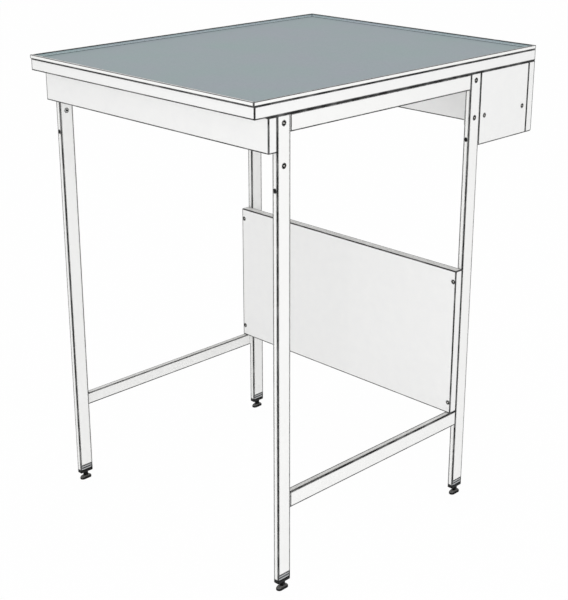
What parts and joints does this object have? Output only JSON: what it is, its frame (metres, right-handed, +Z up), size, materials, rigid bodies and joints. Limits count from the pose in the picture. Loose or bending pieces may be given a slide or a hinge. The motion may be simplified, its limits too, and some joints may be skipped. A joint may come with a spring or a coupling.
{
  "type": "laboratory bench",
  "caption": "Free-standing laboratory bench with a raised-rim worktop on flat tube legs, a service box behind, a modesty panel and screw-adjusted levelling feet.",
  "frame": {"origin": "on the floor, under the middle of the bench's outline", "axes": "+Z is up, -Y is the front where the user sits or stands, +Y is the back with the service box, +X is the right-hand side seen from the front"},
  "size_m": [0.6, 0.75, 0.9],
  "materials": {
    "white_board_facing": "particle board faced with smooth white melamine",
    "white_edging": "white plastic edging strip, satin",
    "grey_resin_sheet": "grey-blue resin laminate with a faint mottle, satin",
    "white_powder_coat": "white powder coat on steel, satin",
    "zinc_plated_steel": "zinc plated, satin",
    "blackened_steel": "blackened steel, semi-gloss",
    "black_plastic": "moulded black plastic, satin",
    "black_rubber": "moulded black rubber, matt"
  },
  "bodies": {
    "bench": {"worktop_board": "white_board_facing", "front_edge_strip": "white_edging", "rear_edge_strip": "white_edging", "left_edge_strip": "white_edging", "right_edge_strip": "white_edging", "work_surface": "grey_resin_sheet", "coved_lip": "grey_resin_sheet", "front_left_leg": "white_powder_coat", "front_right_leg": "white_powder_coat", "rear_left_leg": "white_powder_coat", "rear_right_leg": "white_powder_coat", "left_top_rail": "white_powder_coat", "right_top_rail": "white_powder_coat", "left_stretcher": "white_powder_coat", "right_stretcher": "white_powder_coat", "front_apron": "white_board_facing", "modesty_panel": "white_board_facing", "rear_service_panel": "white_board_facing", "left_service_panel": "white_board_facing", "right_service_panel": "white_board_facing", "front_left_worktop_bracket": "zinc_plated_steel", "front_right_worktop_bracket": "zinc_plated_steel", "rear_left_worktop_bracket": "zinc_plated_steel", "rear_right_worktop_bracket": "zinc_plated_steel", "left_joining_plate": "zinc_plated_steel", "right_joining_plate": "zinc_plated_steel", "left_corner_bracket": "zinc_plated_steel", "right_corner_bracket": "zinc_plated_steel", "left_apron_bracket": "zinc_plated_steel", "right_apron_bracket": "zinc_plated_steel", "front_left_rivet_nut": "zinc_plated_steel", "front_right_rivet_nut": "zinc_plated_steel", "front_left_upper_bolt": "blackened_steel", "front_left_lower_bolt": "blackened_steel", "front_right_upper_bolt": "blackened_steel", "front_right_lower_bolt": "blackened_steel", "rear_left_upper_bolt": "blackened_steel", "rear_left_lower_bolt": "blackened_steel", "rear_right_upper_bolt": "blackened_steel", "rear_right_lower_bolt": "blackened_steel", "left_service_screw_fore": "blackened_steel", "left_service_screw_aft": "blackened_steel", "right_service_screw_fore": "blackened_steel", "right_service_screw_aft": "blackened_steel", "left_modesty_screw_upper": "blackened_steel", "left_modesty_screw_lower": "blackened_steel", "right_modesty_screw_upper": "blackened_steel", "right_modesty_screw_lower": "blackened_steel", "front_left_leg_plug": "black_plastic", "front_right_leg_plug": "black_plastic", "rear_left_leg_plug": "black_plastic", "rear_right_leg_plug": "black_plastic"},
    "front_left_pad": {"front_left_foot_pad": "black_rubber"},
    "front_right_pad": {"front_right_foot_pad": "black_rubber"},
    "rear_left_pad": {"rear_left_foot_pad": "black_rubber"},
    "rear_right_pad": {"rear_right_foot_pad": "black_rubber"},
    "front_left_stud": {"front_left_foot_stud": "blackened_steel"},
    "front_right_stud": {"front_right_foot_stud": "blackened_steel"},
    "rear_left_stud": {"rear_left_foot_stud": "blackened_steel"},
    "rear_right_stud": {"rear_right_foot_stud": "blackened_steel"}
  },
  "joints": [
    {"name": "front_left_foot_travel", "type": "slide", "parent": "bench", "child": "front_left_pad", "axis": [0, 0, -1], "range_m": [0, 0.015]},
    {"name": "front_right_foot_travel", "type": "slide", "parent": "bench", "child": "front_right_pad", "axis": [0, 0, -1], "range_m": [0, 0.015]},
    {"name": "rear_left_foot_travel", "type": "slide", "parent": "bench", "child": "rear_left_pad", "axis": [0, 0, -1], "range_m": [0, 0.015]},
    {"name": "rear_right_foot_travel", "type": "slide", "parent": "bench", "child": "rear_right_pad", "axis": [0, 0, -1], "range_m": [0, 0.015]},
    {"name": "front_left_stud_turn", "type": "hinge", "parent": "front_left_pad", "child": "front_left_stud", "pos_m": [-0.294, -0.3087, 0.0042], "axis": [0, 0, -1], "range_deg": [0, 5400]},
    {"name": "front_right_stud_turn", "type": "hinge", "parent": "front_right_pad", "child": "front_right_stud", "pos_m": [0.294, -0.3087, 0.0042], "axis": [0, 0, -1], "range_deg": [0, 5400]},
    {"name": "rear_left_stud_turn", "type": "hinge", "parent": "rear_left_pad", "child": "rear_left_stud", "pos_m": [-0.294, 0.19, 0.0042], "axis": [0, 0, -1], "range_deg": [0, 5400]},
    {"name": "rear_right_stud_turn", "type": "hinge", "parent": "rear_right_pad", "child": "rear_right_stud", "pos_m": [0.294, 0.19, 0.0042], "axis": [0, 0, -1], "range_deg": [0, 5400]}
  ],
  "couplings": [
    {"joint": "front_left_stud_turn", "follows": "front_left_foot_travel", "rad_per_m": 6283.2},
    {"joint": "front_right_stud_turn", "follows": "front_right_foot_travel", "rad_per_m": 6283.2},
    {"joint": "rear_left_stud_turn", "follows": "rear_left_foot_travel", "rad_per_m": 6283.2},
    {"joint": "rear_right_stud_turn", "follows": "rear_right_foot_travel", "rad_per_m": 6283.2}
  ]
}
